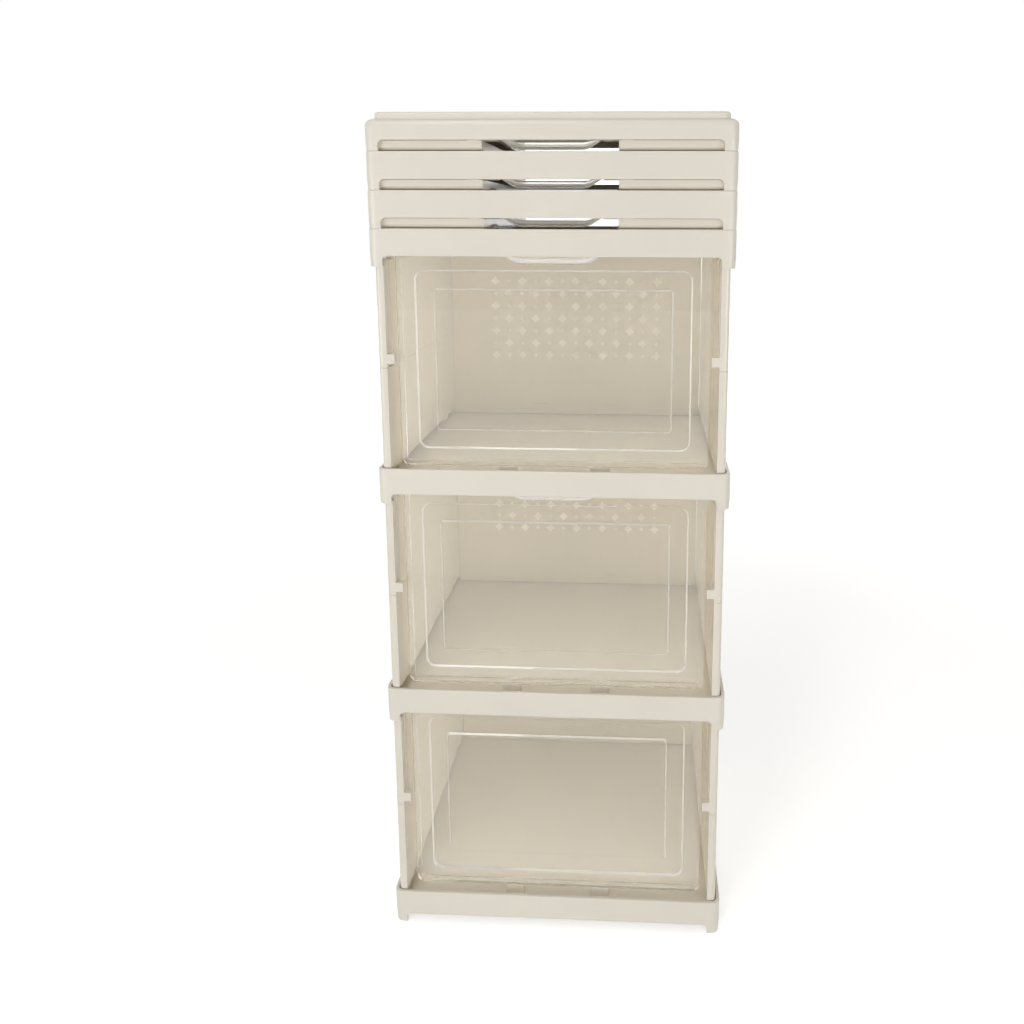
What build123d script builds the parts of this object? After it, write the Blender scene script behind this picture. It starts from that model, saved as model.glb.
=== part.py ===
from build123d import *
import math
import os

# A folding stack of shoe compartments: a base frame, five shelf frames and a lid, joined by side walls
# that fold inward at half height. The three lower tiers stand open, the three upper tiers are folded flat.
# Millimetres, +Z up, the front faces -Y, the origin is on the floor under the middle of the stack.

# Driving sizes of the stack
WIDTH = 360.0
DEPTH = 290.0
FRAME_HEIGHT = 37.0
LEG_HEIGHT = 10.4
OPEN_CLEAR = 206.0
OPEN_TIERS = 3
FOLDED_TIERS = 3

# Moulded frame
CORNER_RADIUS = 9.0
WALL = 3.5
TOP_ROUND = 1.2
RECESS = 10.0
FLOOR_THICKNESS = 2.2
LEG_TAPER = 3.0
LEG_FACE = 14.0
LEG_RETURN = 22.0
SLOT_ROUND = 5.0

# Lid
LID_RIM_HEIGHT = 30.5
LID_ROUND = 7.0
LID_RISE = 7.0
LID_INSET = 7.5
LID_CORNER = 8.0
LID_SKIN = 2.4

# Folding side walls
SIDE_THICKNESS = 9.0
SIDE_SET_IN = 5.0
SIDE_SKIN = 2.4
SIDE_BORDER = 11.0
SIDE_END_GAP = 0.6
PIVOT_FROM_OUTSIDE = 3.0
FOLDED_GAP = 0.4
FOLD_RISE = 1.0
PARTING_GAP = 0.3
END_ROUND = 2.5
SIDE_EDGE_ROUND = 4.5
LUG_SPACING = 200.0
LUG_LENGTH = 10.0
LUG_RADIUS = 3.0
HINGE_SPACING = 170.0
KNUCKLE_LENGTH = 12.0
KNUCKLE_EAR = 6.0
KNUCKLE_RADIUS = 2.8
STOP_TAB_REACH = 7.5
STOP_TAB_HEIGHT = 10.0
STOP_TAB_DEPTH = 6.0
STOP_TAB_ABOVE_PARTING = 4.0
RELIEF_WIDTH = 7.0
RELIEF_DEPTH = 1.2

# Pins and running clearances
PIN_RADIUS = 1.5
PIN_PLAY = 0.06
SIDE_PLAY = 0.3
CUT_MARGIN = 1.0

# Clear front door
DOOR_SIDE_GAP = 8.2
DOOR_PLATE = 3.0
DOOR_RIM = 5.0
DOOR_BOTTOM_GAP = 0.4
DOOR_CORNER = 8.0
DOOR_FACE_BEHIND_AXIS = 1.2
DOOR_AXIS_SET_BACK = 14.0
DOOR_AXIS_HEIGHT = 12.2
DOOR_BARREL_RADIUS = 2.3
PANEL_MARGIN_SIDE = 18.5
PANEL_MARGIN_TOP = 15.8
PANEL_MARGIN_BOTTOM = 18.0
PANEL_BAND = 20.5
PANEL_DEPTH = 1.5
PANEL_SLOPE = 45.0
PANEL_ROUND = 10.0
ISLAND_ROUND = 4.0
PULL_WIDTH = 102.0
PULL_BOTTOM_WIDTH = 70.0
PULL_ROUND = 20.0
PULL_REACH = 10.2
PULL_WALL = 1.8

# Vented back panel
BACK_HINGE_GAP = 3.0
BACK_SIDE_GAP = 0.6
BACK_SHOULDER = 6.0
BACK_PLATE = 3.5
BACK_BOTTOM_GAP = 0.5
BACK_AXIS_SET_IN = 8.0
BACK_AXIS_HEIGHT = 19.2
BACK_BARREL_RADIUS = 2.3
VENT_COLUMNS = 13
VENT_ROWS = 7
VENT_PITCH_X = 17.9
VENT_PITCH_Z = 16.6
VENT_FIRST_ROW = 54.7
VENT_LARGE = 6.6
VENT_SMALL = 3.4
VENT_WAIST = 0.42
BACK_BOSS_SPACING = 95.0
BACK_BOSS_WIDTH = 16.0
BACK_BOSS_HEIGHT = 4.0
BACK_BOSS_DEPTH = 1.2

# Hinge ears and catches on the frames
EAR_THICKNESS = 4.0
EAR_RADIUS = 2.6
CATCH_SPACING = 95.0
CATCH_WIDTH = 20.0
CATCH_DEPTH = 4.0

# Worked sizes
FLOOR_TOP = FRAME_HEIGHT - RECESS
CEILING = FLOOR_TOP - FLOOR_THICKNESS
LID_TOP = LID_RIM_HEIGHT + LID_RISE
LID_CEILING = LID_TOP - LID_SKIN
FRONT = -DEPTH / 2
INNER_FACE = WIDTH / 2 - SIDE_SET_IN - SIDE_THICKNESS
PIVOT_X = WIDTH / 2 - SIDE_SET_IN - PIVOT_FROM_OUTSIDE
PIVOT_DROP = PIVOT_FROM_OUTSIDE + FOLDED_GAP / 2
LOW_PIVOT_DROP = PIVOT_DROP - FOLD_RISE
HIGH_PIVOT_RISE = PIVOT_DROP + FOLD_RISE
PIVOT_TO_INSIDE = SIDE_THICKNESS - PIVOT_FROM_OUTSIDE
HALF_LENGTH = OPEN_CLEAR / 2 + PIVOT_DROP
SIDE_DEPTH = DEPTH - 2 * WALL - 2 * SIDE_END_GAP
HOLE_RADIUS = PIN_RADIUS + PIN_PLAY
END_NOTCH = CORNER_RADIUS - WALL
DOOR_AXIS_Y = FRONT + DOOR_AXIS_SET_BACK
DOOR_HALF_WIDTH = INNER_FACE - DOOR_SIDE_GAP
DOOR_LENGTH = OPEN_CLEAR + DOOR_AXIS_HEIGHT - DOOR_BOTTOM_GAP
BACK_AXIS_Y = DEPTH / 2 - BACK_AXIS_SET_IN
BACK_HALF_WIDTH = INNER_FACE - BACK_SIDE_GAP
BACK_HINGE_HALF = INNER_FACE - BACK_HINGE_GAP
BACK_LENGTH = OPEN_CLEAR + BACK_AXIS_HEIGHT + RECESS - BACK_BOTTOM_GAP


def block(x0, x1, y0, y1, z0, z1):
    """A box given by its six faces."""
    middle = Pos((x0 + x1) / 2, (y0 + y1) / 2, (z0 + z1) / 2)
    return middle * Box(x1 - x0, y1 - y0, z1 - z0)


def rod_x(x0, x1, y, z, radius):
    """A round rod along X."""
    return Pos((x0 + x1) / 2, y, z) * Rot(0, 90, 0) * Cylinder(radius, x1 - x0)


def rod_y(x, y0, y1, z, radius):
    """A round rod along Y."""
    return Pos(x, (y0 + y1) / 2, z) * Rot(90, 0, 0) * Cylinder(radius, y1 - y0)


def outline(inset, corner):
    """The rounded plan of a frame, moved in from its outside."""
    return RectangleRounded(WIDTH - 2 * inset, DEPTH - 2 * inset, corner)


def raised(sketch, z0, z1):
    """A plan sketch pulled up from one height to another."""
    return extrude(Pos(0, 0, z0) * sketch, z1 - z0)


def round_top(solid, radius):
    """Rounds the highest outer edges of a solid."""
    return fillet(solid.edges().group_by(Axis.Z)[-1], radius)


def leg_openings():
    """The four slots between the legs, with rounded upper corners, cut from below."""
    tall = 2 * LEG_HEIGHT
    front = Plane.XZ * RectangleRounded(WIDTH - 2 * LEG_FACE, tall, SLOT_ROUND)
    side = Plane.YZ * RectangleRounded(DEPTH - 2 * LEG_RETURN, tall, SLOT_ROUND)
    return extrude(front, DEPTH, both=True) + extrude(side, WIDTH, both=True)


def skirt(height, rounding):
    """The outer shape of a frame: a rounded rail that stands on tapered corner legs."""
    rail = round_top(raised(outline(0, CORNER_RADIUS), LEG_HEIGHT, height), rounding)
    legs = extrude(Pos(0, 0, LEG_HEIGHT) * outline(0, CORNER_RADIUS), -LEG_HEIGHT, taper=LEG_TAPER)
    return rail + legs


def lug(side, y, pivot_z, root_z):
    """A pierced lug for a side wall's hinge bar, on a root that reaches the frame's plate."""
    x = side * PIVOT_X
    y0 = y - LUG_LENGTH / 2
    y1 = y + LUG_LENGTH / 2
    low = min(pivot_z, root_z)
    high = max(pivot_z, root_z)
    root = block(x - LUG_RADIUS, x + LUG_RADIUS, y0, y1, low, high)
    return root + rod_y(x, y0, y1, pivot_z, LUG_RADIUS) - rod_y(x, y0, y1, pivot_z, HOLE_RADIUS)


def lugs(pivot_z, root_z):
    """The four lugs of one frame's upper or lower side."""
    made = [
        lug(side, y, pivot_z, root_z)
        for side in (-1, 1)
        for y in (-LUG_SPACING / 2, LUG_SPACING / 2)
    ]
    return Part() + made


def ear(side, half_width, y, z, ceiling):
    """A hinge ear that hangs from a frame's underside and takes one pin of a door or back panel."""
    inner = side * (half_width + SIDE_PLAY)
    outer = side * (half_width + SIDE_PLAY + EAR_THICKNESS)
    x0 = min(inner, outer)
    x1 = max(inner, outer)
    hanger = block(x0, x1, y - EAR_RADIUS, y + EAR_RADIUS, z, ceiling)
    return hanger + rod_x(x0, x1, y, z, EAR_RADIUS) - rod_x(x0, x1, y, z, HOLE_RADIUS)


def hanging_hinges(ceiling):
    """Everything under a frame that carries the tier below it."""
    parts = lugs(HIGH_PIVOT_RISE, ceiling)
    for side in (-1, 1):
        parts += ear(side, DOOR_HALF_WIDTH, DOOR_AXIS_Y, DOOR_AXIS_HEIGHT, ceiling)
        parts += ear(side, BACK_HINGE_HALF, BACK_AXIS_Y, BACK_AXIS_HEIGHT, ceiling)
    return parts


def standing_hinges():
    """Everything on a frame that carries the tier above it: wall lugs and the door's catches."""
    parts = lugs(FRAME_HEIGHT - LOW_PIVOT_DROP, FLOOR_TOP)
    y0 = DOOR_AXIS_Y + DOOR_FACE_BEHIND_AXIS
    half = CATCH_WIDTH / 2
    for x in (-CATCH_SPACING / 2, CATCH_SPACING / 2):
        parts += block(x - half, x + half, y0, y0 + CATCH_DEPTH, FLOOR_TOP, FRAME_HEIGHT)
    return parts


def make_frame(carries_below):
    """A shelf frame: a tray with a floor plate, and legs at its corners."""
    body = skirt(FRAME_HEIGHT, TOP_ROUND)
    body -= raised(outline(WALL, CORNER_RADIUS - WALL), FLOOR_TOP, FRAME_HEIGHT + CUT_MARGIN)
    body -= raised(outline(WALL, CORNER_RADIUS - WALL), -CUT_MARGIN, CEILING)
    body -= leg_openings()
    body += standing_hinges()
    if carries_below:
        body += hanging_hinges(CEILING)
    return body


def make_lid():
    """The top cover: a low rim on legs, with a raised middle."""
    whole = skirt(LID_RIM_HEIGHT, LID_ROUND)
    whole += round_top(raised(outline(LID_INSET, LID_CORNER), LID_RIM_HEIGHT - LID_SKIN, LID_TOP), LID_SKIN)
    body = whole - raised(outline(WALL, CORNER_RADIUS - WALL), -CUT_MARGIN, LID_RIM_HEIGHT - LID_SKIN)
    body -= raised(outline(LID_INSET + LID_SKIN, LID_CORNER - LID_SKIN), 0, LID_CEILING)
    body -= leg_openings()
    return body + (hanging_hinges(LID_CEILING + LID_SKIN / 2) & whole)


def knuckle_spans():
    """The Y spans of each middle hinge: its two ears and the knuckle between them."""
    spans = []
    for y in (-HINGE_SPACING / 2, HINGE_SPACING / 2):
        half = KNUCKLE_LENGTH / 2
        spans.append((y - half - KNUCKLE_EAR, y - half, y + half, y + half + KNUCKLE_EAR))
    return spans


def half_wall(upper):
    """One half of a left side wall, upright, with its frame pivot at the origin.

    The lower half runs up from the pivot and the upper half runs down from it.
    """
    way = -1 if upper else 1
    far = HALF_LENGTH - PARTING_GAP / 2
    outside = -PIVOT_FROM_OUTSIDE
    inside = PIVOT_TO_INSIDE
    middle_x = outside - FOLDED_GAP / 2
    middle_z = HALF_LENGTH
    half_depth = SIDE_DEPTH / 2

    plan = Pos((outside + inside) / 2, 0) * Rectangle(SIDE_THICKNESS, SIDE_DEPTH)
    plan = fillet(plan.vertices().group_by(Axis.X)[0], SIDE_EDGE_ROUND)
    plate = raised(plan, -PIVOT_FROM_OUTSIDE, far)
    plate = fillet(plate.edges().filter_by(Axis.Y).group_by(Axis.Z)[0].sort_by(Axis.X)[-1], END_ROUND)
    for side in (-1, 1):
        y0, y1 = sorted((side * (half_depth - END_NOTCH), side * (half_depth + CUT_MARGIN)))
        low = -PIVOT_FROM_OUTSIDE
        plate -= block(outside - CUT_MARGIN, inside + CUT_MARGIN, y0, y1, low - CUT_MARGIN, low + END_NOTCH)
    pocket_reach = half_depth - SIDE_BORDER
    pocket_low = SIDE_BORDER - PIVOT_FROM_OUTSIDE
    for side in (-1, 1):
        y0, y1 = sorted((side * SIDE_BORDER / 2, side * pocket_reach))
        plate -= block(outside - CUT_MARGIN, inside - SIDE_SKIN, y0, y1, pocket_low, far - SIDE_BORDER)

    for y in (-LUG_SPACING / 2, LUG_SPACING / 2):
        y0 = y - LUG_LENGTH / 2 - SIDE_PLAY
        y1 = y + LUG_LENGTH / 2 + SIDE_PLAY
        reach = LUG_RADIUS + SIDE_PLAY
        plate -= block(
            outside - CUT_MARGIN, inside + CUT_MARGIN, y0, y1, -PIVOT_FROM_OUTSIDE - CUT_MARGIN, reach
        )
        plate += rod_y(0, y0 - CUT_MARGIN, y1 + CUT_MARGIN, 0, PIN_RADIUS)

    clear = KNUCKLE_RADIUS + SIDE_PLAY
    for ear0, knuckle0, knuckle1, ear1 in knuckle_spans():
        if upper:
            for y0, y1 in ((ear0, knuckle0), (knuckle1, ear1)):
                plate -= rod_y(middle_x, y0 - SIDE_PLAY, y1 + SIDE_PLAY, middle_z, clear)
            plate += rod_y(middle_x, knuckle0 + SIDE_PLAY, knuckle1 - SIDE_PLAY, middle_z, KNUCKLE_RADIUS)
            plate -= rod_y(middle_x, knuckle0, knuckle1, middle_z, HOLE_RADIUS)
        else:
            plate -= rod_y(middle_x, knuckle0, knuckle1, middle_z, clear)
            for y0, y1 in ((ear0, knuckle0), (knuckle1, ear1)):
                plate += rod_y(middle_x, y0, y1, middle_z, KNUCKLE_RADIUS)
            plate += rod_y(middle_x, knuckle0 - CUT_MARGIN, knuckle1 + CUT_MARGIN, middle_z, PIN_RADIUS)

    if upper:
        # Room for the barrel and the ears of the door that lies over the folded wall
        relief = RELIEF_WIDTH / 2
        plate -= block(
            inside - RELIEF_DEPTH, inside + CUT_MARGIN, DOOR_AXIS_Y - relief, DOOR_AXIS_Y + relief,
            -PIVOT_FROM_OUTSIDE - CUT_MARGIN, far + CUT_MARGIN,
        )
        tab_z = far - STOP_TAB_ABOVE_PARTING
        plate += block(
            inside - SIDE_SKIN, inside + STOP_TAB_REACH, -half_depth, -half_depth + STOP_TAB_DEPTH,
            tab_z - STOP_TAB_HEIGHT, tab_z,
        )
    return plate if way == 1 else mirror(plate, Plane.XY)


def pull_outline(top_width, bottom_width, reach):
    """The finger pull seen from the front: straight at the top, narrower and rounded at the bottom."""
    half_top = top_width / 2
    half_bottom = bottom_width / 2
    corners = [(-half_top, 0), (half_top, 0), (half_bottom, -reach), (-half_bottom, -reach)]
    face = make_face(Polyline(*corners, close=True))
    return fillet(face.vertices().group_by(Axis.Y)[0], PULL_ROUND)


def pull_shape(top_width, bottom_width, reach):
    """The solid swept by the finger pull's outline from the front down to the door's face."""
    return revolve(pull_outline(top_width, bottom_width, reach), Axis.X, 90)


def make_door():
    """The clear door, hanging closed, with its hinge axis along X through the origin."""
    front = DOOR_FACE_BEHIND_AXIS
    width = 2 * DOOR_HALF_WIDTH

    def standing_plate(wide, low, high, corner, y0, y1):
        sketch = Pos(0, (low + high) / 2) * RectangleRounded(wide, high - low, corner)
        return extrude(Plane.XZ.offset(-y0) * sketch, -(y1 - y0))

    low = -DOOR_LENGTH
    top = DOOR_BARREL_RADIUS
    door = standing_plate(width, low, top, top - PIN_PLAY, front, front + DOOR_PLATE)
    rim = standing_plate(width, low, -DOOR_BARREL_RADIUS, DOOR_CORNER, front, front + DOOR_RIM)
    inner_corner = DOOR_CORNER - DOOR_RIM
    rim -= standing_plate(width - 2 * DOOR_RIM, low + DOOR_RIM, 0, inner_corner, 0, front + 2 * DOOR_RIM)
    corner_cut = block(-width, width, 0, 4 * DOOR_RIM, low - CUT_MARGIN, low + DOOR_CORNER)
    corner_cut -= standing_plate(width, low, 0, DOOR_CORNER, -CUT_MARGIN, 5 * DOOR_RIM)
    door = door + rim - corner_cut

    panel_width = width - 2 * PANEL_MARGIN_SIDE
    panel_low = low + PANEL_MARGIN_BOTTOM
    panel_high = -PANEL_MARGIN_TOP
    panel_height = panel_high - panel_low
    panel_middle = (panel_high + panel_low) / 2
    foot = PANEL_DEPTH * math.tan(math.radians(PANEL_SLOPE))
    island_width = panel_width - 2 * (PANEL_BAND - foot)
    island_height = panel_height - 2 * (PANEL_BAND - foot)
    wide = Pos(0, panel_middle) * RectangleRounded(panel_width, panel_height, PANEL_ROUND)
    island = Pos(0, panel_middle) * RectangleRounded(island_width, island_height, ISLAND_ROUND)
    groove = extrude(Plane.XZ.offset(-front) * wide, -PANEL_DEPTH, taper=PANEL_SLOPE)
    groove -= extrude(Plane.XZ.offset(-front - PANEL_DEPTH) * island, PANEL_DEPTH, taper=PANEL_SLOPE)
    door -= groove

    for side in (-1, 1):
        inner = side * PULL_WIDTH / 2
        x0, x1 = sorted((inner, side * DOOR_HALF_WIDTH))
        door += rod_x(x0, x1, 0, 0, DOOR_BARREL_RADIUS)
        pin = side * (DOOR_HALF_WIDTH + SIDE_PLAY + EAR_THICKNESS)
        x0, x1 = sorted((inner, pin))
        door += rod_x(x0, x1, 0, 0, PIN_RADIUS)

    pull = pull_shape(PULL_WIDTH, PULL_BOTTOM_WIDTH, PULL_REACH)
    bridge = extrude(Plane.XZ * pull_outline(PULL_WIDTH, PULL_BOTTOM_WIDTH, PULL_REACH), -front)
    hollow = pull_shape(PULL_WIDTH - 2.5 * PULL_WALL, PULL_BOTTOM_WIDTH - PULL_WALL, PULL_REACH - PULL_WALL)
    return door + (pull + bridge - hollow)


def vent_shape(reach):
    """A four-pointed vent with hollowed sides."""
    waist = VENT_WAIST * reach
    points = [
        (reach, 0), (waist, waist), (0, reach), (-waist, waist),
        (-reach, 0), (-waist, -waist), (0, -reach), (waist, -waist),
    ]
    return make_face(Polyline(*points, close=True))


def make_back():
    """The vented back panel, hanging closed, with its hinge axis along X through the origin."""
    top = BACK_BARREL_RADIUS
    sketch = Pos(0, (top - BACK_LENGTH) / 2) * Rectangle(2 * BACK_HINGE_HALF, BACK_LENGTH + top)
    below = BACK_LENGTH - BACK_SHOULDER
    sketch += Pos(0, -BACK_SHOULDER - below / 2) * Rectangle(2 * BACK_HALF_WIDTH, below)
    vents = []
    for row in range(VENT_ROWS):
        for column in range(VENT_COLUMNS):
            reach = VENT_LARGE if (row + column) % 2 == 0 else VENT_SMALL
            x = (column - (VENT_COLUMNS - 1) / 2) * VENT_PITCH_X
            z = -VENT_FIRST_ROW - row * VENT_PITCH_Z
            vents.append(Pos(x, z) * vent_shape(reach))
    back = extrude(Plane.XZ * (sketch - vents), BACK_PLATE)
    back += rod_x(-BACK_HINGE_HALF, BACK_HINGE_HALF, 0, 0, BACK_BARREL_RADIUS)
    pin = BACK_HINGE_HALF + SIDE_PLAY + EAR_THICKNESS
    back += rod_x(-pin, pin, 0, 0, PIN_RADIUS)
    for x in (-BACK_BOSS_SPACING / 2, BACK_BOSS_SPACING / 2):
        low = RECESS - BACK_LENGTH
        back += block(
            x - BACK_BOSS_WIDTH / 2, x + BACK_BOSS_WIDTH / 2, -BACK_PLATE - BACK_BOSS_DEPTH, -BACK_PLATE,
            low, low + BACK_BOSS_HEIGHT,
        )
    return back


def save(name, solid):
    """Writes one node's file."""
    export_step(solid, f"parts/{name}.step")


os.makedirs("parts", exist_ok=True)

# One of each moulding
shelf = make_frame(True)
lid = make_lid()
left_lower = half_wall(False)
left_upper = half_wall(True)
right_lower = mirror(left_lower, Plane.YZ)
right_upper = mirror(left_upper, Plane.YZ)
door = make_door()
back = make_back()

# The stack, from the floor up
save("base_frame", make_frame(False))
top_of_frame = FRAME_HEIGHT
for tier in range(1, OPEN_TIERS + FOLDED_TIERS + 1):
    folded = tier > OPEN_TIERS
    leg_bottom = top_of_frame + (0 if folded else OPEN_CLEAR)
    turn = 90 if folded else 0
    low_pivot = top_of_frame - LOW_PIVOT_DROP
    high_pivot = leg_bottom + HIGH_PIVOT_RISE
    save(f"side_left_lower_{tier}", Pos(-PIVOT_X, 0, low_pivot) * Rot(0, turn, 0) * left_lower)
    save(f"side_left_upper_{tier}", Pos(-PIVOT_X, 0, high_pivot) * Rot(0, -turn, 0) * left_upper)
    save(f"side_right_lower_{tier}", Pos(PIVOT_X, 0, low_pivot) * Rot(0, -turn, 0) * right_lower)
    save(f"side_right_upper_{tier}", Pos(PIVOT_X, 0, high_pivot) * Rot(0, turn, 0) * right_upper)
    save(f"door_{tier}", Pos(0, DOOR_AXIS_Y, leg_bottom + DOOR_AXIS_HEIGHT) * Rot(turn, 0, 0) * door)
    save(f"back_{tier}", Pos(0, BACK_AXIS_Y, leg_bottom + BACK_AXIS_HEIGHT) * Rot(-turn, 0, 0) * back)
    is_top = tier == OPEN_TIERS + FOLDED_TIERS
    save("top_lid" if is_top else f"shelf_frame_{tier}", Pos(0, 0, leg_bottom) * (lid if is_top else shelf))
    top_of_frame = leg_bottom + FRAME_HEIGHT
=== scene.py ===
"""Dresses the folding shoe cabinet: plastics, thin pale sheets in the vents that are painted light for
what shows through the holes, floor, lamps and camera.
"""
import math

import bpy
from mathutils import Matrix, Vector


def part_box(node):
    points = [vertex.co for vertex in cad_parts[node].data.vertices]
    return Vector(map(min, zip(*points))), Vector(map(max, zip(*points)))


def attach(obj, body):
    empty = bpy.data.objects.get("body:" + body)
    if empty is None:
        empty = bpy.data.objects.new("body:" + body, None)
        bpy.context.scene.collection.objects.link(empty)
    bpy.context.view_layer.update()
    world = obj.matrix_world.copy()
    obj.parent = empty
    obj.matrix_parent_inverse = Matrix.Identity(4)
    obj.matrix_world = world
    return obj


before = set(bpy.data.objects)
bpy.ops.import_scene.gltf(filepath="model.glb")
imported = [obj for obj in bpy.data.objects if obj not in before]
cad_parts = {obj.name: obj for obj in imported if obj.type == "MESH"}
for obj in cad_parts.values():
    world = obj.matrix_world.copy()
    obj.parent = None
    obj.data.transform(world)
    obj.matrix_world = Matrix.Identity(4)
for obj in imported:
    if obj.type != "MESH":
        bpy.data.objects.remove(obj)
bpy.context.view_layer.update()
scene = bpy.context.scene
scene.view_settings.view_transform = "Standard"

# Camera, fitted to the edges of the frames in the photograph (pixels, metres and degrees)
IMAGE = 1024
FOCAL = 793.0
VIEW_CENTRE = (611.8, 335.6)
CAMERA_AT = (0.092, -0.914, 0.777)
PITCH_DOWN = 8.44
TURN_LEFT = 2.4
ROLL = 0.19
SENSOR = 36.0
CLIP_START = 0.05

# Colours of the mouldings, linear
FRAME_WHITE = (0.79, 0.75, 0.668, 1.0)
WALL_WHITE = (0.80, 0.75, 0.665, 1.0)
# The back panel is painted darker and warmer than the walls: painted shade of the inside of the cabinet
BACK_PAINTED_SHADE = (0.685, 0.634, 0.522, 1.0)
# The vents are painted paler than the back panel: painted light for what shows through the holes
VENT_PAINTED_LIGHT = (0.95, 0.90, 0.79, 1.0)
CLEAR_TINT = (0.97, 0.96, 0.93, 1.0)

# Moulded plastic: how much lamp light each face lets through, its flow marks, sheen, grain and edges
SHINE_THROUGH = (0.45, 0.41, 0.355, 1.0)
PLASTIC_IOR = 1.49
FLOW_SCALE = 9.0
FLOW_SHADE = 0.955
SHEEN_SCALE = 55.0
SATIN = (0.28, 0.40)
GLOSSY = (0.16, 0.26)
GRAIN_SCALE = 900.0
GRAIN_STRENGTH = 0.10
GRAIN_DEPTH = 0.0004
EDGE_RADIUS = 0.0008
VENT_EDGE_RADIUS = 0.0004
EDGE_SAMPLES = 4

# Clear plastic: see-through on its flat faces, milky on its slopes, with faint waves
CLEAR_IOR = 1.45
CLEAR_FLAT = 0.92
CLEAR_SLOPE = 0.50
SLOPE_FULL = 0.80
SLOPE_NONE = 0.96
POLISH_SCALE = 14.0
POLISHED = (0.004, 0.016)
WAVE_SCALE = 22.0
WAVE_STRENGTH = 0.015
WAVE_DEPTH = 0.001

# Thin pale sheets in the vents, painted light for what shows through the holes: mottled, and partly lit
# from behind
MOTTLE_SCALE = 400.0
MOTTLE_SHADE = 0.96
SHEET_SATIN = (0.30, 0.45)
SHEET_THROUGH = 0.25

# Vents of the back panels, as in the solids (metres, measured down from the hinge axis)
TIERS = 6
OPEN_TIERS = 3
VENT_COLUMNS = 13
VENT_ROWS = 7
VENT_PITCH_X = 0.0179
VENT_PITCH_Z = 0.0166
VENT_FIRST_ROW = 0.0547
VENT_LARGE = 0.0066
VENT_SMALL = 0.0034
VENT_WAIST = 0.42
BARREL_RADIUS = 0.0023
SHEET_BACK = -0.0024
SHEET_FRONT = -0.0030
SHEET_GRIP = 0.0002

# Floor and surround: the floor's own glow grows with the distance from the cabinet
WHITE = (1.0, 1.0, 1.0, 1.0)
SURROUND_WARM = (1.0, 0.985, 0.96, 1.0)
SURROUND_STRENGTH = 0.27
FLOOR_WHITE = (0.80, 0.80, 0.79, 1.0)
FLOOR_ROUGHNESS = 0.9
FLOOR_HALF = 6.0
GLOW_NEAR = 0.58
GLOW_FAR = 0.85
GLOW_FROM = 0.8
GLOW_TO = 2.4

# Lamps: name, place, the point each looks at, width and height, watts
LAMP_WHITE = (1.0, 0.99, 0.975)
LAMPS = (
    ("key", (-1.2, -2.0, 2.4), (0, 0, 0.5), (1.6, 1.6), 2),
    ("right", (1.8, -1.8, 0.45), (0, 0, 0.1), (1.6, 0.8), 20),
    ("left", (-1.9, -1.9, 0.5), (0, 0, 0.2), (1.4, 0.9), 22),
    ("above", (-0.47, -1.15, 2.6), (-0.2, -0.1, 0.5), (0.4, 1.9), 14),
    ("behind", (0.3, 2.4, 1.2), (0, 0, 0.5), (1.6, 1.6), 8),
)


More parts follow.
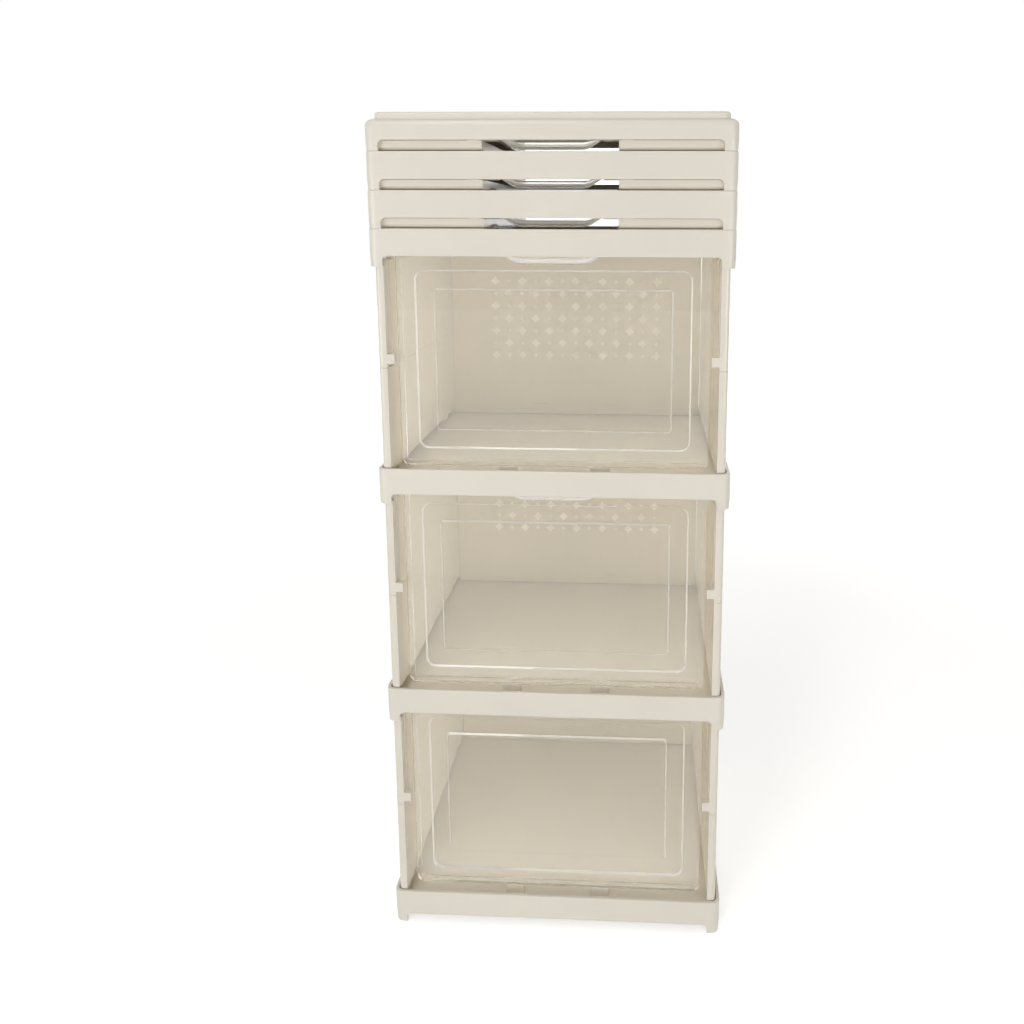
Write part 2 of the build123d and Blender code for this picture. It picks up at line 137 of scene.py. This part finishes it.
class Nodes:
    """A material's node tree, with short ways to add and link nodes."""

    def __init__(self, name):
        self.material = bpy.data.materials.new(name)
        self.material.use_nodes = True
        self.tree = self.material.node_tree
        self.tree.nodes.clear()
        self.output = self.add("ShaderNodeOutputMaterial")

    def add(self, kind, **values):
        node = self.tree.nodes.new(kind)
        for key, value in values.items():
            setattr(node, key, value)
        return node

    def link(self, source, target):
        self.tree.links.new(source, target)

    def noise(self, scale, detail):
        """A noise pattern in object space."""
        place = self.add("ShaderNodeTexCoord")
        pattern = self.add("ShaderNodeTexNoise")
        pattern.inputs["Scale"].default_value = scale
        pattern.inputs["Detail"].default_value = detail
        self.link(place.outputs["Object"], pattern.inputs["Vector"])
        return pattern.outputs["Fac"]

    def ramp(self, value, low, high, from_low=0.3, from_high=0.7):
        """Maps a pattern's values to a range of numbers."""
        mapped = self.add("ShaderNodeMapRange")
        mapped.inputs["From Min"].default_value = from_low
        mapped.inputs["From Max"].default_value = from_high
        mapped.inputs["To Min"].default_value = low
        mapped.inputs["To Max"].default_value = high
        self.link(value, mapped.inputs["Value"])
        return mapped.outputs["Result"]

    def shades(self, value, colour, shade):
        """Mixes a colour with a darker shade of it by a pattern."""
        mix = self.add("ShaderNodeMix", data_type="RGBA")
        self.link(value, mix.inputs[0])
        # The inputs 6 and 7 and the output 2 are the node's sockets for colours
        mix.inputs[6].default_value = colour
        mix.inputs[7].default_value = tuple(c * shade for c in colour[:3]) + (1.0,)
        return mix.outputs[2]

    def relief(self, height, strength, depth):
        """A shallow relief from a pattern."""
        bump = self.add("ShaderNodeBump")
        bump.inputs["Strength"].default_value = strength
        bump.inputs["Distance"].default_value = depth
        self.link(height, bump.inputs["Height"])
        return bump

    def slanted(self):
        """1 on sloped and curved faces of a moulding, 0 on its flat faces that follow the axes."""
        place = self.add("ShaderNodeTexCoord")
        size = self.add("ShaderNodeVectorMath", operation="ABSOLUTE")
        parts = self.add("ShaderNodeSeparateXYZ")
        pair = self.add("ShaderNodeMath", operation="MAXIMUM")
        largest = self.add("ShaderNodeMath", operation="MAXIMUM")
        self.link(place.outputs["Normal"], size.inputs[0])
        self.link(size.outputs["Vector"], parts.inputs["Vector"])
        self.link(parts.outputs["X"], pair.inputs[0])
        self.link(parts.outputs["Y"], pair.inputs[1])
        self.link(pair.outputs["Value"], largest.inputs[0])
        self.link(parts.outputs["Z"], largest.inputs[1])
        return self.ramp(largest.outputs["Value"], 1.0, 0.0, SLOPE_FULL, SLOPE_NONE)

    def let_lamps_through(self, shader, colour):
        """Ends the material with a shader whose faces tint the lamps' light, but don't stop it."""
        passing = self.add("ShaderNodeBsdfTransparent")
        passing.inputs["Color"].default_value = colour
        rays = self.add("ShaderNodeLightPath")
        mix = self.add("ShaderNodeMixShader")
        self.link(rays.outputs["Is Shadow Ray"], mix.inputs["Fac"])
        self.link(shader.outputs["BSDF"], mix.inputs[1])
        self.link(passing.outputs["BSDF"], mix.inputs[2])
        self.link(mix.outputs["Shader"], self.output.inputs["Surface"])


def moulded_plastic(name, colour, roughness, edge_radius):
    """Moulded plastic: faint flow marks, fine texture, soft edges. Some lamp light comes through it."""
    nodes = Nodes(name)
    shader = nodes.add("ShaderNodeBsdfPrincipled")
    shader.inputs["IOR"].default_value = PLASTIC_IOR
    flow = nodes.ramp(nodes.noise(FLOW_SCALE, 3.0), 0.0, 1.0)
    nodes.link(nodes.shades(flow, colour, FLOW_SHADE), shader.inputs["Base Color"])
    nodes.link(nodes.ramp(nodes.noise(SHEEN_SCALE, 4.0), *roughness), shader.inputs["Roughness"])

    edges = nodes.add("ShaderNodeBevel", samples=EDGE_SAMPLES)
    edges.inputs["Radius"].default_value = edge_radius
    grain = nodes.relief(nodes.noise(GRAIN_SCALE, 2.0), GRAIN_STRENGTH, GRAIN_DEPTH)
    nodes.link(edges.outputs["Normal"], grain.inputs["Normal"])
    nodes.link(grain.outputs["Normal"], shader.inputs["Normal"])
    nodes.let_lamps_through(shader, SHINE_THROUGH)
    return nodes.material


def clear_plastic(name, colour):
    """Clear polished plastic with faint waves, and milky on its slopes. Lamps shine through it."""
    nodes = Nodes(name)
    shader = nodes.add("ShaderNodeBsdfPrincipled")
    shader.inputs["Base Color"].default_value = colour
    shader.inputs["IOR"].default_value = CLEAR_IOR
    clearness = nodes.ramp(nodes.slanted(), CLEAR_FLAT, CLEAR_SLOPE, 0.0, 1.0)
    nodes.link(clearness, shader.inputs["Transmission Weight"])
    nodes.link(nodes.ramp(nodes.noise(POLISH_SCALE, 3.0), *POLISHED), shader.inputs["Roughness"])
    waves = nodes.relief(nodes.noise(WAVE_SCALE, 1.0), WAVE_STRENGTH, WAVE_DEPTH)
    nodes.link(waves.outputs["Normal"], shader.inputs["Normal"])
    nodes.let_lamps_through(shader, colour)
    return nodes.material


def painted_light_sheet(name, colour):
    """A thin pale sheet, painted light for what shows through a vent, that also lets some lamp light
    through.
    """
    nodes = Nodes(name)
    mottle = nodes.ramp(nodes.noise(MOTTLE_SCALE, 2.0), 0.0, 1.0)
    shade = nodes.shades(mottle, colour, MOTTLE_SHADE)
    shader = nodes.add("ShaderNodeBsdfPrincipled")
    nodes.link(shade, shader.inputs["Base Color"])
    nodes.link(nodes.ramp(nodes.noise(SHEEN_SCALE, 4.0), *SHEET_SATIN), shader.inputs["Roughness"])
    through = nodes.add("ShaderNodeBsdfTranslucent")
    nodes.link(shade, through.inputs["Color"])
    mix = nodes.add("ShaderNodeMixShader")
    mix.inputs["Fac"].default_value = SHEET_THROUGH
    nodes.link(shader.outputs["BSDF"], mix.inputs[1])
    nodes.link(through.outputs["BSDF"], mix.inputs[2])
    nodes.link(mix.outputs["Shader"], nodes.output.inputs["Surface"])
    return nodes.material


materials = {
    "frame": moulded_plastic("frame_white_plastic", FRAME_WHITE, SATIN, EDGE_RADIUS),
    "wall": moulded_plastic("wall_white_plastic", WALL_WHITE, GLOSSY, EDGE_RADIUS),
    # The back panel's colour is white plastic with painted shade of the inside of the cabinet
    "back": moulded_plastic("back_painted_shade_plastic", BACK_PAINTED_SHADE, GLOSSY, VENT_EDGE_RADIUS),
    "door": clear_plastic("door_clear_plastic", CLEAR_TINT),
    # Sheets in the vents: painted light for what shows through the holes
    "painted_vents": painted_light_sheet("vent_painted_light_plastic", VENT_PAINTED_LIGHT),
}


def kind_of(node):
    """Which moulding a node is, by its name."""
    if node.startswith("door"):
        return "door"
    if node.startswith("back"):
        return "back"
    return "wall" if node.startswith("side") else "frame"


for node_name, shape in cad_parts.items():
    shape.data.materials.clear()
    shape.data.materials.append(materials[kind_of(node_name)])


def vent_outline(x, down, reach):
    """The corners of one four-pointed vent, as across and up distances."""
    tip = reach + SHEET_GRIP
    waist = VENT_WAIST * reach + SHEET_GRIP
    corners = []
    for quarter in range(4):
        turn = math.pi / 2 * quarter
        for angle, radius in ((turn, tip), (turn + math.pi / 4, waist * math.sqrt(2))):
            corners.append((x + radius * math.cos(angle), radius * math.sin(angle) - down))
    return corners


def vent_outlines():
    """All the vents of a back panel, large and small ones in turn."""
    outlines = []
    for row in range(VENT_ROWS):
        for column in range(VENT_COLUMNS):
            reach = VENT_LARGE if (row + column) % 2 == 0 else VENT_SMALL
            x = (column - (VENT_COLUMNS - 1) / 2) * VENT_PITCH_X
            outlines.append(vent_outline(x, VENT_FIRST_ROW + row * VENT_PITCH_Z, reach))
    return outlines


def make_vent_light_sheets(tier):
    """The thin pale sheets in the vents of one back panel, painted light for what shows through the
    holes, upright or folded flat.
    """
    low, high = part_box(f"back_{tier}")
    folded = tier > OPEN_TIERS
    axis_y = high[1] - BARREL_RADIUS
    axis_z = low[2] + BARREL_RADIUS if folded else high[2] - BARREL_RADIUS
    points, faces = [], []
    for outline in vent_outlines():
        first = len(points)
        count = len(outline)
        for depth in (SHEET_FRONT, SHEET_BACK):
            for x, up in outline:
                if folded:
                    points.append((x, axis_y + up, axis_z - depth))
                else:
                    points.append((x, axis_y + depth, axis_z + up))
        faces.append([first + k for k in range(count)])
        faces.append([first + count + k for k in reversed(range(count))])
        for k in range(count):
            after = (k + 1) % count
            faces.append([first + after, first + k, first + count + k, first + count + after])
    mesh = bpy.data.meshes.new(f"painted_vent_light_{tier}")
    mesh.from_pydata(points, [], faces)
    mesh.materials.append(materials["painted_vents"])
    piece = bpy.data.objects.new(f"painted_vent_light_{tier}", mesh)
    scene.collection.objects.link(piece)
    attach(piece, f"tray_{tier}" if folded else f"back_{tier}")


# Each back panel gets sheets in its vents, painted light for what shows through the holes
for tier_number in range(1, TIERS + 1):
    make_vent_light_sheets(tier_number)


def white_where_seen(tree, plain, white):
    """Mixes two shaders so that the camera, gloss and clear plastic see the white one."""
    rays = tree.nodes.new("ShaderNodeLightPath")
    first = tree.nodes.new("ShaderNodeMath")
    second = tree.nodes.new("ShaderNodeMath")
    mix = tree.nodes.new("ShaderNodeMixShader")
    for node in (first, second):
        node.operation = "MAXIMUM"
    tree.links.new(rays.outputs["Is Camera Ray"], first.inputs[0])
    tree.links.new(rays.outputs["Is Glossy Ray"], first.inputs[1])
    tree.links.new(first.outputs["Value"], second.inputs[0])
    tree.links.new(rays.outputs["Is Transmission Ray"], second.inputs[1])
    tree.links.new(second.outputs["Value"], mix.inputs["Fac"])
    tree.links.new(plain.outputs[0], mix.inputs[1])
    tree.links.new(white.outputs[0], mix.inputs[2])
    return mix


def make_world():
    """A soft warm surround that shows as white."""
    world = bpy.data.worlds.new("surround")
    world.use_nodes = True
    tree = world.node_tree
    tree.nodes.clear()
    plain = tree.nodes.new("ShaderNodeBackground")
    plain.inputs["Color"].default_value = SURROUND_WARM
    plain.inputs["Strength"].default_value = SURROUND_STRENGTH
    white = tree.nodes.new("ShaderNodeBackground")
    white.inputs["Color"].default_value = WHITE
    white.inputs["Strength"].default_value = 1.0
    output = tree.nodes.new("ShaderNodeOutputWorld")
    mix = white_where_seen(tree, plain, white)
    tree.links.new(mix.outputs["Shader"], output.inputs["Surface"])
    scene.world = world


def make_floor():
    """A wide pale floor that keeps the shadow of the cabinet, and stays white far away from the lamps."""
    mesh = bpy.data.meshes.new("floor")
    corners = [(FLOOR_HALF * x, FLOOR_HALF * y, 0) for x, y in ((-1, -1), (1, -1), (1, 1), (-1, 1))]
    mesh.from_pydata(corners, [], [(0, 1, 2, 3)])
    floor = bpy.data.objects.new("floor", mesh)
    scene.collection.objects.link(floor)
    nodes = Nodes("floor_white")
    plain = nodes.add("ShaderNodeBsdfPrincipled")
    plain.inputs["Base Color"].default_value = FLOOR_WHITE
    plain.inputs["Roughness"].default_value = FLOOR_ROUGHNESS
    glow = nodes.add("ShaderNodeEmission")
    place = nodes.add("ShaderNodeTexCoord")
    distance = nodes.add("ShaderNodeVectorMath", operation="LENGTH")
    nodes.link(place.outputs["Object"], distance.inputs[0])
    strength = nodes.ramp(distance.outputs["Value"], GLOW_NEAR, GLOW_FAR, GLOW_FROM, GLOW_TO)
    nodes.link(strength, glow.inputs["Strength"])
    lit = nodes.add("ShaderNodeAddShader")
    nodes.link(plain.outputs["BSDF"], lit.inputs[0])
    nodes.link(glow.outputs["Emission"], lit.inputs[1])
    seen = white_where_seen(nodes.tree, plain, lit)
    nodes.link(seen.outputs["Shader"], nodes.output.inputs["Surface"])
    mesh.materials.append(nodes.material)


def make_lamp(name, at, target, size, watts):
    """A soft lamp that looks at a point."""
    data = bpy.data.lights.new(name, "AREA")
    data.shape = "RECTANGLE"
    data.size, data.size_y = size
    data.energy = watts
    data.color = LAMP_WHITE
    lamp = bpy.data.objects.new(name, data)
    scene.collection.objects.link(lamp)
    direction = Vector(at) - Vector(target)
    lamp.matrix_world = Matrix.Translation(at) @ direction.to_track_quat("Z", "Y").to_matrix().to_4x4()


def make_camera():
    """The camera of the photograph."""
    data = bpy.data.cameras.new("camera")
    data.sensor_width = SENSOR
    data.lens = FOCAL / IMAGE * SENSOR
    data.shift_x = (IMAGE / 2 - VIEW_CENTRE[0]) / IMAGE
    data.shift_y = (VIEW_CENTRE[1] - IMAGE / 2) / IMAGE
    data.clip_start = CLIP_START
    camera = bpy.data.objects.new("camera", data)
    scene.collection.objects.link(camera)
    turn = Matrix.Rotation(math.radians(TURN_LEFT), 4, "Z")
    tilt = Matrix.Rotation(math.radians(90 - PITCH_DOWN), 4, "X")
    roll = Matrix.Rotation(math.radians(ROLL), 4, "Z")
    camera.matrix_world = Matrix.Translation(CAMERA_AT) @ turn @ tilt @ roll
    scene.camera = camera


make_world()
make_floor()
for lamp_values in LAMPS:
    make_lamp(*lamp_values)
make_camera()
